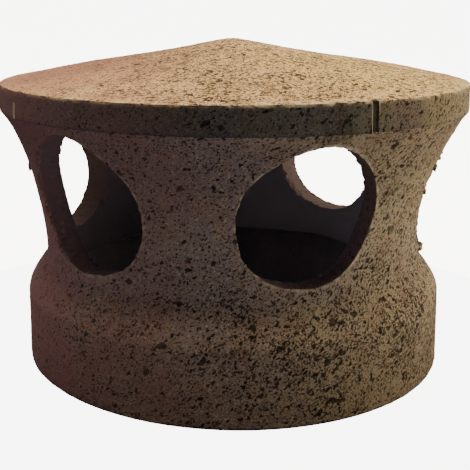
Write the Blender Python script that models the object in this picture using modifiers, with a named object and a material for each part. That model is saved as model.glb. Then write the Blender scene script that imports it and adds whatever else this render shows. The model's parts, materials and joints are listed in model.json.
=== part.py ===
"""Roof vent cap: one piece of fired clay, turned to shape and pierced by six round windows.

The cap stands on its underside with its axis on +Z and its origin at the middle of that
underside. The front of the cap is the -Y side. All sizes are in metres.
"""

import math

import bmesh
import bpy

# Driving sizes
RIM_RADIUS = 0.100
RIM_TOP_Z = 0.1186
RIM_FOOT_Z = 0.1077
PEAK_Z = 0.1364
BASE_RADIUS = 0.090
BASE_WALL_TOP_Z = 0.0285
WAIST_RADIUS = 0.0817
WAIST_Z = 0.0436
WALL = 0.010

# Rounded edges
RIM_TOP_ROUND = 0.0014
RIM_FOOT_ROUND = 0.0008
FOOT_ROUND = 0.0008
SOCKET_MOUTH_ROUND = 0.0006
LEDGE_ROUND = 0.0016
CEILING_ROUND = 0.0060

# Roof, a low cone that sags a little and ends in a blunt tip
ROOF_SAG_POWER = 1.07
ROOF_EDGE_RADIUS = RIM_RADIUS - 3 * RIM_TOP_ROUND
TIP_RADIUS = 0.004
TIP_INNER_RADIUS = TIP_RADIUS / 3
TIP_DROP = 0.0003
CEILING_TIP_RADIUS = 2 * TIP_RADIUS
ROOF_RINGS = 5

# Socket that drops over the vent pipe
SOCKET_RADIUS = 0.080
SOCKET_DEPTH = 0.032
THROAT_RADIUS = WAIST_RADIUS - WALL

# Slope of the flare where it meets the rim, measured from upright
FLARE_TOP_SLOPE = math.radians(44.0)
FLARE_FOOT_PULL = 0.0212
FLARE_TOP_PULL = 0.0136

# Slope of the shoulder where it meets the waist, measured from upright
SHOULDER_TOP_SLOPE = math.radians(33.0)
SHOULDER_FOOT_PULL = 0.0050
SHOULDER_TOP_PULL = 0.0060

# Windows, cut one by one, so each strays a little from an even sixth of the way round
WINDOW_RADIUS = 0.0279
WINDOW_Z = 0.0756
FIRST_WINDOW_AZIMUTH = 19.3
WINDOW_STRAY = (0.0, 0.7, -1.5, 0.0, -1.9, -0.7)
CUTTER_LENGTH = RIM_RADIUS

# Facets
TURN_STEPS = 72
WINDOW_SIDES = 36
FLARE_POINTS = 11
SHOULDER_POINTS = 7
ROUND_POINTS = 3
MERGE_DISTANCE = 0.00001

CLAY_COLOUR = (0.215, 0.135, 0.078, 1.0)
CLAY_ROUGHNESS = 0.85


def clear_scene():
    """Remove every object of the start-up scene."""
    for old in list(bpy.data.objects):
        bpy.data.objects.remove(old, do_unlink=True)


def new_collection(name):
    """Add a collection to the scene and return it."""
    collection = bpy.data.collections.new(name)
    bpy.context.scene.collection.children.link(collection)
    return collection


def bezier(start, start_pull, end_pull, end, count):
    """Points of a cubic curve through an outline, both ends included."""
    points = []
    for index in range(count):
        t = index / (count - 1)
        u = 1.0 - t
        weights = (u**3, 3 * u * u * t, 3 * u * t * t, t**3)
        corners = (start, start_pull, end_pull, end)
        points.append(tuple(sum(w * c[axis] for w, c in zip(weights, corners)) for axis in (0, 1)))
    return points


def rounded(before, corner, after, radius):
    """Points that round an outline's corner with an arc of the given radius."""
    to_before = (before[0] - corner[0], before[1] - corner[1])
    to_after = (after[0] - corner[0], after[1] - corner[1])
    heading_before = math.atan2(to_before[1], to_before[0])
    heading_after = math.atan2(to_after[1], to_after[0])
    spread = (heading_after - heading_before + math.pi) % (2 * math.pi) - math.pi
    half = abs(spread) / 2
    middle = heading_before + spread / 2
    centre_distance = radius / math.sin(half)
    centre = (
        corner[0] + centre_distance * math.cos(middle),
        corner[1] + centre_distance * math.sin(middle),
    )
    sweep = math.pi - 2 * half
    turn = -math.copysign(1.0, spread)
    start = middle + math.pi - turn * sweep / 2
    points = []
    for index in range(ROUND_POINTS + 1):
        angle = start + turn * sweep * index / ROUND_POINTS
        points.append((centre[0] + radius * math.cos(angle), centre[1] + radius * math.sin(angle)))
    return points


def roof_height(radius):
    """Height of the roof's outer face at a distance from the axis."""
    return PEAK_Z - (PEAK_Z - RIM_TOP_Z) * (radius / RIM_RADIUS) ** ROOF_SAG_POWER


def roof_points():
    """The roof's outer face, from its blunt tip to just inside the rim."""
    points = [(0.0, PEAK_Z - TIP_DROP)]
    points.append((TIP_INNER_RADIUS, roof_height(TIP_INNER_RADIUS) - TIP_DROP / 2))
    for ring in range(ROOF_RINGS + 1):
        radius = TIP_RADIUS + (ROOF_EDGE_RADIUS - TIP_RADIUS) * ring / ROOF_RINGS
        points.append((radius, roof_height(radius)))
    return points


def flare_start():
    """The point that the flare's curve heads for as it leaves the rim."""
    return (
        RIM_RADIUS - FLARE_TOP_PULL * math.sin(FLARE_TOP_SLOPE),
        RIM_FOOT_Z - FLARE_TOP_PULL * math.cos(FLARE_TOP_SLOPE),
    )


def rim_points():
    """The upright band under the roof's edge, with both its edges eased."""
    inside_edge = (ROOF_EDGE_RADIUS, roof_height(ROOF_EDGE_RADIUS))
    top = (RIM_RADIUS, RIM_TOP_Z)
    foot = (RIM_RADIUS, RIM_FOOT_Z)
    upper_edge = rounded(inside_edge, top, foot, RIM_TOP_ROUND)
    lower_edge = rounded(top, foot, flare_start(), RIM_FOOT_ROUND)
    return upper_edge + lower_edge


def flare_points(inset=0.0):
    """The hollow curve from the rim down to the waist, moved inwards by the inset."""
    top = (RIM_RADIUS, RIM_FOOT_Z)
    foot_pull = (WAIST_RADIUS, WAIST_Z + FLARE_FOOT_PULL)
    foot = (WAIST_RADIUS, WAIST_Z)
    curve = bezier(top, flare_start(), foot_pull, foot, FLARE_POINTS)
    return [(radius - inset, height) for radius, height in curve]


def shoulder_points():
    """The swelling from the waist down to the top of the upright base wall."""
    top = (WAIST_RADIUS, WAIST_Z)
    top_pull = (
        WAIST_RADIUS + SHOULDER_TOP_PULL * math.sin(SHOULDER_TOP_SLOPE),
        WAIST_Z - SHOULDER_TOP_PULL * math.cos(SHOULDER_TOP_SLOPE),
    )
    foot_pull = (BASE_RADIUS, BASE_WALL_TOP_Z + SHOULDER_FOOT_PULL)
    foot = (BASE_RADIUS, BASE_WALL_TOP_Z)
    return bezier(top, top_pull, foot_pull, foot, SHOULDER_POINTS)


def foot_points():
    """The flat underside, with its outer edge and the socket's mouth eased."""
    outer_corner = (BASE_RADIUS, 0.0)
    inner_corner = (SOCKET_RADIUS, 0.0)
    outer = rounded((BASE_RADIUS, BASE_WALL_TOP_Z), outer_corner, inner_corner, FOOT_ROUND)
    inner = rounded(outer_corner, inner_corner, (SOCKET_RADIUS, SOCKET_DEPTH), SOCKET_MOUTH_ROUND)
    return outer + inner


def hollow_points():
    """The inside: socket wall, pipe stop, throat, flared wall and conical ceiling."""
    stop_outer = (SOCKET_RADIUS, SOCKET_DEPTH)
    stop_inner = (THROAT_RADIUS, SOCKET_DEPTH)
    throat_top = (THROAT_RADIUS, WAIST_Z)
    points = [stop_outer]
    points += rounded(stop_outer, stop_inner, throat_top, LEDGE_ROUND)
    inner_wall = [point for point in reversed(flare_points(WALL)) if point[1] < RIM_FOOT_Z - WALL]
    points += inner_wall
    corner = (RIM_RADIUS - WALL, roof_height(RIM_RADIUS - WALL) - WALL)
    ceiling_middle = (0.0, PEAK_Z - WALL)
    points += rounded(inner_wall[-1], corner, ceiling_middle, CEILING_ROUND)
    points.append((CEILING_TIP_RADIUS, roof_height(CEILING_TIP_RADIUS) - WALL))
    points.append((0.0, PEAK_Z - WALL - TIP_DROP))
    return points


def outline():
    """The whole turned outline: down the outside, across the foot and up the inside."""
    outside = roof_points()[:-1] + rim_points() + flare_points()[1:-1] + shoulder_points()
    return outside + foot_points() + hollow_points()


def turned_body(collection):
    """Turn the outline about Z with a Screw modifier."""
    mesh = bpy.data.meshes.new("vent_cap")
    profile = bmesh.new()
    chain = [profile.verts.new((radius, 0.0, height)) for radius, height in outline()]
    for upper, lower in zip(chain, chain[1:]):
        profile.edges.new((upper, lower))
    profile.to_mesh(mesh)
    profile.free()
    body = bpy.data.objects.new("vent_cap", mesh)
    collection.objects.link(body)
    screw = body.modifiers.new("turn", "SCREW")
    screw.axis = "Z"
    screw.angle = 2 * math.pi
    screw.steps = TURN_STEPS
    screw.render_steps = TURN_STEPS
    screw.use_merge_vertices = True
    screw.merge_threshold = MERGE_DISTANCE
    screw.use_smooth_shade = True
    return body


def window_cutter(index, collection):
    """A round cutter that lies level and points out from the axis through one window."""
    mesh = bpy.data.meshes.new(f"window_cutter_{index + 1}")
    shape = bmesh.new()
    bmesh.ops.create_cone(
        shape,
        cap_ends=True,
        segments=WINDOW_SIDES,
        radius1=WINDOW_RADIUS,
        radius2=WINDOW_RADIUS,
        depth=CUTTER_LENGTH,
    )
    shape.to_mesh(mesh)
    shape.free()
    cutter = bpy.data.objects.new(mesh.name, mesh)
    collection.objects.link(cutter)
    step = 360.0 / len(WINDOW_STRAY)
    azimuth = math.radians(FIRST_WINDOW_AZIMUTH + index * step + WINDOW_STRAY[index])
    cutter.rotation_euler = (math.pi / 2, 0.0, azimuth)
    cutter.location = (WAIST_RADIUS * math.sin(azimuth), -WAIST_RADIUS * math.cos(azimuth), WINDOW_Z)
    cutter.hide_render = True
    cutter.display_type = "WIRE"
    return cutter


def cut_windows(body, collection):
    """Cut every window through the wall."""
    for index in range(len(WINDOW_STRAY)):
        cut = body.modifiers.new(f"window_{index + 1}", "BOOLEAN")
        cut.operation = "DIFFERENCE"
        cut.solver = "EXACT"
        cut.object = window_cutter(index, collection)


def clay_material():
    """Unglazed brown clay, fired hard."""
    material = bpy.data.materials.new("ironspot_fired_clay")
    material.use_nodes = True
    shader = material.node_tree.nodes["Principled BSDF"]
    shader.inputs["Base Color"].default_value = CLAY_COLOUR
    shader.inputs["Roughness"].default_value = CLAY_ROUGHNESS
    shader.inputs["Metallic"].default_value = 0.0
    return material


def build():
    """Make the cap."""
    clear_scene()
    parts = new_collection("roof_vent_cap")
    cutters = new_collection("cutters")
    cap = turned_body(parts)
    cap.data.materials.append(clay_material())
    cut_windows(cap, cutters)


build()
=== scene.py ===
"""Finish of a roof vent cap: one piece of speckled stoneware clay, pierced by hand and fired unglazed.

The cap stands on its underside with its axis on +Z and its origin at the middle of that underside.
Its front is the -Y side. Lengths are in metres, and an azimuth is in degrees from the front towards
+X. The scene has the cap, a pale floor that sweeps up behind it, soft light and the camera.
"""

import json
import logging
import math
import random
from collections.abc import Iterator
from contextlib import contextmanager
from dataclasses import dataclass
from enum import Enum
from functools import partial

import bmesh
import bpy
import numpy as np
from mathutils import Matrix, Vector, noise

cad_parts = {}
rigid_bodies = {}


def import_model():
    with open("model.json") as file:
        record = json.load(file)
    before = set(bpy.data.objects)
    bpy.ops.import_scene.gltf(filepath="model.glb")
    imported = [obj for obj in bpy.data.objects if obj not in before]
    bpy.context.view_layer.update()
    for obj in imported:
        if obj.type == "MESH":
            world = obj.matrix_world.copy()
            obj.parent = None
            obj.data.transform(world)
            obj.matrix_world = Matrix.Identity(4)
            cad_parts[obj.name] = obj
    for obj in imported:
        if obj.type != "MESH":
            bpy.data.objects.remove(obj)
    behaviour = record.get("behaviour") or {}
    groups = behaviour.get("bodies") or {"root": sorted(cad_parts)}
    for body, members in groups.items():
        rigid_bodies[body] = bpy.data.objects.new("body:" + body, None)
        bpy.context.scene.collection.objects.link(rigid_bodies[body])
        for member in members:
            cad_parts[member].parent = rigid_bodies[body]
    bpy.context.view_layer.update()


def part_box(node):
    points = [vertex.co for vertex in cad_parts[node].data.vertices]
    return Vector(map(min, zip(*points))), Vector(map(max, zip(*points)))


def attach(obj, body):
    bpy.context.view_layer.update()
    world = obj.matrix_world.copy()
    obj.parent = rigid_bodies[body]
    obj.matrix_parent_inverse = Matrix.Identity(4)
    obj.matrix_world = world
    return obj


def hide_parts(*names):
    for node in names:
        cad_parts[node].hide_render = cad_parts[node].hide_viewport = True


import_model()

MM = 0.001
TIMES = {"operation": "MULTIPLY"}

LOG = logging.getLogger("vent_cap")

Point = tuple[float, float]
Colour = tuple[float, float, float, float]
Feed = bpy.types.NodeSocket | bpy.types.Node


class Zone(Enum):
    """Parts of the clay's surface that the finish treats apart, each kept as a weight on the mesh."""

    ROOF = "roof_skin"
    BAND = "rim_band"
    FIN = "mould_fin"
    GROOVE = "mould_groove"
    CUT = "cut_face"
    INSIDE = "inside"
    # Worn window edges, and a painted highlight along the roof's arris
    WORN = "worn_edge"


class Grain(Enum):
    """How a relief rises and falls over the surface."""

    ROLLING = "CLOUDS"
    CRUMBLED = "STUCCI"


class Bite(Enum):
    """What a tool or a lump does to the body that it meets."""

    CUT = "DIFFERENCE"
    JOIN = "UNION"


class Coat(Enum):
    """How a coat of colour lies on the clay."""

    COVER = "MIX"
    STAIN = "MULTIPLY"


def linear(hex_code: str) -> Colour:
    """Turn an sRGB hex colour into linear light.

    Args:
        hex_code: six hex digits after a hash.

    Returns:
        Red, green, blue and an alpha of one.
    """
    shares = [int(hex_code[at:at + 2], 16) / 255 for at in (1, 3, 5)]
    light = [s / 12.92 if s <= 0.04045 else ((s + 0.055) / 1.055) ** 2.4 for s in shares]
    return (light[0], light[1], light[2], 1.0)


def bearing(azimuth: float, elevation: float = 0.0) -> Vector:
    """Unit vector that points out at an azimuth and an elevation in degrees."""
    turn, rise = math.radians(azimuth), math.radians(elevation)
    return Vector((math.sin(turn) * math.cos(rise), -math.cos(turn) * math.cos(rise), math.sin(rise)))


def make_active(piece: bpy.types.Object) -> None:
    """Select one object alone and make it the active one.

    Args:
        piece: the object.
    """
    bpy.ops.object.select_all(action="DESELECT")
    piece.select_set(True)
    bpy.context.view_layer.objects.active = piece


@contextmanager
def editing(piece: bpy.types.Object) -> Iterator[bmesh.types.BMesh]:
    """Hold an object open in edit mode.

    Args:
        piece: the mesh object to shape.

    Yields:
        Its edit mesh.
    """
    make_active(piece)
    bpy.ops.object.mode_set(mode="EDIT")
    try:
        yield bmesh.from_edit_mesh(piece.data)
    finally:
        bpy.ops.object.mode_set(mode="OBJECT")


def apply_modifier(piece: bpy.types.Object, modifier: bpy.types.Modifier) -> None:
    """Apply one modifier to its object."""
    make_active(piece)
    bpy.ops.object.modifier_apply(modifier=modifier.name)


def joined(pieces: list[bpy.types.Object]) -> bpy.types.Object:
    """Join several objects into the first of them.

    Args:
        pieces: the objects, with the one that stays first.

    Returns:
        The first object, which now holds them all.
    """
    make_active(pieces[0])
    for piece in pieces:
        piece.select_set(True)
    bpy.ops.object.join()
    return pieces[0]


def work(body: bpy.types.Object, tool: bpy.types.Object, bite: Bite) -> None:
    """Cut a closed tool out of a body, or join it on, and clear the tool away.

    Args:
        body: the object that is worked.
        tool: the closed tool or lump.
        bite: whether it is cut out or joined on.
    """
    cut = body.modifiers.new(tool.name, "BOOLEAN")
    cut.operation = bite.value
    cut.solver = "MANIFOLD"
    cut.object = tool
    apply_modifier(body, cut)
    bpy.data.objects.remove(tool, do_unlink=True)


def triangles(piece: bpy.types.Object) -> int:
    """Count the triangles that an object's faces make.

    Args:
        piece: the mesh object.

    Returns:
        Their number.
    """
    corners = np.empty(len(piece.data.polygons), dtype=np.int32)
    piece.data.polygons.foreach_get("loop_total", corners)
    return int((corners - 2).sum())


def rows(collection: bpy.types.bpy_prop_collection, field: str) -> np.ndarray:
    """Read a vector field of every vertex or face.

    Args:
        collection: the mesh's vertices or faces.
        field: the field's name.

    Returns:
        Rows of x, y and z.
    """
    flat = np.empty(3 * len(collection), dtype=np.float32)
    collection.foreach_get(field, flat)
    return flat.reshape(-1, 3)


def curve(start: Point, start_pull: Point, end_pull: Point, end: Point, count: int = 60) -> list[Point]:
    """Points of a cubic curve through an outline.

    Args:
        start: its first point.
        start_pull: the point it heads for as it leaves the start.
        end_pull: the point it comes from as it reaches the end.
        end: its last point.
        count: how many points it has, both ends included.

    Returns:
        The points, in order.
    """
    points = []
    for t in np.linspace(0.0, 1.0, count):
        weights = ((1 - t) ** 3, 3 * (1 - t) ** 2 * t, 3 * (1 - t) * t * t, t**3)
        corners = (start, start_pull, end_pull, end)
        points.append(tuple(float(sum(w * c[axis] for w, c in zip(weights, corners))) for axis in (0, 1)))
    return points


def evened(points: list[Point], step: float) -> list[Point]:
    """Space an outline's points evenly along it, both its ends kept.

    Args:
        points: the outline, in order.
        step: the distance wanted between neighbours.

    Returns:
        The new points.
    """
    outline = np.array(points)
    along = np.concatenate([[0.0], np.cumsum(np.hypot(*np.diff(outline, axis=0).T))])
    marks = np.linspace(0.0, along[-1], max(2, round(along[-1] / step) + 1))
    return list(zip(np.interp(marks, along, outline[:, 0]), np.interp(marks, along, outline[:, 1])))


@dataclass
class TurnedBody:
    """The cap before its windows are cut: a hollow turned wall under a low cone of a roof.

    The roof has an upright band round its edge. Under the band the wall flares in to a waist, then
    swells over a shoulder to the upright base, which is a socket for the vent pipe. The pressed roof
    sank a little round its middle and stayed fuller towards its edge; roof_set gives how much, as
    pairs of radius and rise.
    """

    rim_radius: float
    peak_z: float
    rim_top_z: float = 118.6 * MM
    rim_foot_z: float = 107.7 * MM
    base_radius: float = 90.0 * MM
    base_wall_top_z: float = 28.5 * MM
    waist_radius: float = 81.7 * MM
    waist_z: float = 43.6 * MM
    wall: float = 10.0 * MM
    socket_radius: float = 80.0 * MM
    socket_depth: float = 32.0 * MM
    roof_sag_power: float = 1.02
    roof_set: tuple[Point, ...] = (
        (0.0, 0.15 * MM),
        (8 * MM, 0.15 * MM),
        (16 * MM, -0.15 * MM),
        (26 * MM, -0.30 * MM),
        (40 * MM, -0.30 * MM),
        (50 * MM, 0.0),
        (60 * MM, 0.30 * MM),
        (72 * MM, 0.45 * MM),
        (80 * MM, 0.35 * MM),
        (90 * MM, 0.05 * MM),
        (100 * MM, 0.0),
    )
    tip_radius: float = 4.0 * MM
    tip_drop: float = 0.15 * MM
    rim_arris: float = 0.8 * MM
    foot_arris: float = 0.45 * MM
    stop_arris: float = 1.2 * MM
    ceiling_cove: float = 5.0 * MM
    flare_slope: float = math.radians(44.0)
    flare_top_pull: float = 13.6 * MM
    flare_foot_pull: float = 21.2 * MM
    shoulder_slope: float = math.radians(33.0)
    shoulder_top_pull: float = 6.0 * MM
    shoulder_foot_pull: float = 5.0 * MM
    roof_points: int = 60
    ceiling_points: int = 12
    outer_step: float = 1.05 * MM
    inner_step: float = 3.0 * MM
    same_point: float = 0.05 * MM
    turn_steps: int = 600

    def roof_height(self, radius: float | np.ndarray) -> float | np.ndarray:
        """Height of the roof's outer face at a distance from the axis.

        Args:
            radius: the distance, or an array of them.

        Returns:
            The height, or an array of them.
        """
        fall = self.peak_z - self.rim_top_z
        marks, rises = zip(*self.roof_set)
        set_back = np.interp(radius, marks, rises)
        return self.peak_z - fall * (radius / self.rim_radius) ** self.roof_sag_power + set_back

    def roof(self) -> list[Point]:
        """The roof's outer face, from its blunt tip to the arris.

        Returns:
            Its points, from the axis outwards.
        """
        points = [(0.0, float(self.roof_height(0.3 * self.tip_radius)) - 0.3 * self.tip_drop)]
        radii = np.linspace(0.5 * self.tip_radius, self.rim_radius - self.rim_arris, self.roof_points)
        return points + [(float(radius), float(self.roof_height(radius))) for radius in radii]

    def band(self) -> list[Point]:
        """The upright band, with the arris above it and its foot eased.

        Returns:
            Its points, from the arris down.
        """
        shy = 0.29 * self.rim_arris
        drop = self.rim_arris * (self.peak_z - self.rim_top_z) / self.rim_radius
        return [
            (self.rim_radius - shy, self.rim_top_z - shy + 0.5 * drop),
            (self.rim_radius, self.rim_top_z - self.rim_arris),
            (self.rim_radius, self.rim_foot_z + 0.6 * self.rim_arris),
            (self.rim_radius - 0.1 * self.rim_arris, self.rim_foot_z + 0.1 * self.rim_arris),
        ]

    def flare(self) -> list[Point]:
        """The hollow curve of the wall from the band's foot in to the waist.

        Returns:
            Its points, from the top down.
        """
        leave = (
            self.rim_radius - self.flare_top_pull * math.sin(self.flare_slope),
            self.rim_foot_z - self.flare_top_pull * math.cos(self.flare_slope),
        )
        arrive = (self.waist_radius, self.waist_z + self.flare_foot_pull)
        return curve((self.rim_radius, self.rim_foot_z), leave, arrive, (self.waist_radius, self.waist_z))

    def shoulder(self) -> list[Point]:
        """The swelling from the waist out to the top of the upright base.

        Returns:
            Its points, from the waist down.
        """
        leave = (
            self.waist_radius + self.shoulder_top_pull * math.sin(self.shoulder_slope),
            self.waist_z - self.shoulder_top_pull * math.cos(self.shoulder_slope),
        )
        arrive = (self.base_radius, self.base_wall_top_z + self.shoulder_foot_pull)
        end = (self.base_radius, self.base_wall_top_z)
        return curve((self.waist_radius, self.waist_z), leave, arrive, end)

    def chamber(self) -> list[Point]:
        """The inside of the wall and roof, from the throat up to the axis.

        Returns:
            Its points, from the throat up.
        """
        cove_z = self.rim_foot_z - self.wall
        inner = [(radius - self.wall, height) for radius, height in reversed(self.flare())]
        edge = self.rim_radius - self.wall
        points = [point for point in inner if point[1] < cove_z]
        under_roof = float(self.roof_height(edge - self.ceiling_cove)) - self.wall
        points.append((edge - 0.3 * self.ceiling_cove, under_roof - 0.7 * self.ceiling_cove))
        for radius in np.linspace(edge - self.ceiling_cove, 2 * self.tip_radius, self.ceiling_points):
            points.append((float(radius), float(self.roof_height(radius)) - self.wall))
        points.append((0.0, points[-1][1] + self.tip_drop))
        return points

    def outline(self) -> list[Point]:
        """The whole section, down the outside, across the foot and up the inside.

        Returns:
            Its points, from the roof's tip round to the axis under the roof.
        """
        throat = self.waist_radius - self.wall
        base = [(self.base_radius, self.base_wall_top_z), (self.base_radius, self.foot_arris)]
        foot = [(self.base_radius - self.foot_arris, 0.0), (self.socket_radius, 0.0)]
        socket = [(self.socket_radius, 0.0), (self.socket_radius, self.socket_depth)]
        stop = [(self.socket_radius, self.socket_depth), (throat + self.stop_arris, self.socket_depth)]
        rise = [(throat, self.socket_depth + self.stop_arris), (throat, self.waist_z)]
        skin = (self.roof(), self.band(), self.flare()[1:], self.shoulder(), base)
        runs = [(run, self.outer_step) for run in skin]
        runs += [(run, self.inner_step) for run in (foot, socket, stop, rise, self.chamber())]
        outline: list[Point] = []
        for run, step in runs:
            spaced = evened(run, step)
            apart = not outline or math.dist(outline[-1], spaced[0]) > self.same_point
            outline += spaced if apart else spaced[1:]
        return outline

    def outer_radius(self, heights: float | np.ndarray) -> float | np.ndarray:
        """Radius of the wall's outer face at a height, and the rim's radius from the band's foot up.

        Args:
            heights: the height, or an array of them.

        Returns:
            The radius, or an array of them.
        """
        wall = [(self.rim_radius, self.rim_top_z)] + self.flare() + self.shoulder()[1:]
        wall.append((self.base_radius, 0.0))
        rising = wall[::-1]
        return np.interp(heights, [height for _, height in rising], [radius for radius, _ in rising])

    def depth(self, points: np.ndarray) -> np.ndarray:
        """How deep points lie under the cap's outer skin.

        Args:
            points: rows of x, y and z.

        Returns:
            The lesser of the depths behind the wall's face and under the roof's.
        """
        radii = np.hypot(points[:, 0], points[:, 1])
        behind_wall = self.outer_radius(points[:, 2]) - radii
        return np.minimum(behind_wall, self.roof_height(radii) - points[:, 2])

    def build(self) -> bpy.types.Object:
        """Lay the section out and turn it into a closed body.

        Returns:
            The turned body.
        """
        outline = self.outline()
        bpy.ops.object.select_all(action="DESELECT")
        bpy.ops.mesh.primitive_circle_add(vertices=len(outline), radius=self.rim_radius)
        body = bpy.context.object
        body.name = body.data.name = "fired_clay_cap"
        for vertex, (radius, height) in zip(body.data.vertices, outline):
            vertex.co = (radius, 0.0, height)
        with editing(body) as shape:
            shape.verts.ensure_lookup_table()
            on_axis = shape.edges.get((shape.verts[0], shape.verts[-1]))
            bpy.ops.mesh.select_all(action="DESELECT")
            on_axis.select_set(True)
            bmesh.update_edit_mesh(body.data)
            bpy.ops.mesh.delete(type="EDGE")
        turn = body.modifiers.new("turn", "SCREW")
        turn.axis = "Z"
        turn.angle = 2 * math.pi
        turn.steps = turn.render_steps = self.turn_steps
        turn.use_merge_vertices = True
        turn.merge_threshold = 0.004 * MM
        apply_modifier(body, turn)
        with editing(body):
            bpy.ops.mesh.select_all(action="SELECT")
            bpy.ops.mesh.normals_make_consistent(inside=False)
        return body


@dataclass(frozen=True)
class Swell:
    """A slow wave in a window's outline: how many crests it has, how high, and where one stands."""

    crests: int
    height: float
    crest_at: float


@dataclass(frozen=True)
class Burr:
    """A crumb or a torn place by a window's edge.

    Attributes:
        clock: where it is round the window, in degrees anticlockwise from the right.
        size: its radius.
        outset: how far off the edge it lies, for a crumb that stuck to the wall.
    """

    clock: float
    size: float
    outset: float = 0.0


@dataclass(frozen=True)
class Window:
    """One window, cut by hand and so a little out of round.

    Attributes:
        azimuth: the way it faces.
        radius: its mean radius.
        height: its middle above the foot.
        swells: the waves that take it out of round, each angle read anticlockwise from its right.
        burrs: the larger crumbs that hang on its outer edge.
        tears: the larger notches in its inner edge.
    """

    azimuth: float
    radius: float
    height: float
    swells: tuple[Swell, ...]
    burrs: tuple[Burr, ...] = ()
    tears: tuple[Burr, ...] = ()

    def edge(self, angle: float | np.ndarray) -> float | np.ndarray:
        """Radius of the outline at angles in radians, anticlockwise from the right."""
        waves = (s.height * np.cos(s.crests * (angle - math.radians(s.crest_at))) for s in self.swells)
        return self.radius + sum(waves)

    def frame(self) -> Matrix:
        """The window's own axes: x to its right, y up and z out of the wall.

        Returns:
            The matrix that takes a place on those axes to its place on the cap.
        """
        right, out = bearing(self.azimuth + 90), bearing(self.azimuth)
        axes = Matrix((right, Vector((0.0, 0.0, 1.0)), out)).transposed().to_4x4()
        return Matrix.Translation((0.0, 0.0, self.height)) @ axes

    def local(self, points: np.ndarray) -> np.ndarray:
        """Turn rows of x, y and z into the window's own axes."""
        into = np.array(self.frame().inverted())
        return points @ into[:3, :3].T + into[:3, 3]


@dataclass(frozen=True)
class Lump:
    """The form of a lump of torn clay, its lengths as shares of its size.

    Attributes:
        along: its length along the window's edge.
        across: its width across the edge.
        proud: its height out of the wall.
        outset: how far its middle lies outside the outline.
        sunk: how deep its middle lies behind the wall's face.
        lumpy: how uneven it is.
        each: how many of them each window has by chance.
        biggest: the radius of the largest of those.
    """

    along: float
    across: float
    proud: float
    outset: float
    sunk: float
    lumpy: float
    each: int
    biggest: float


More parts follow.
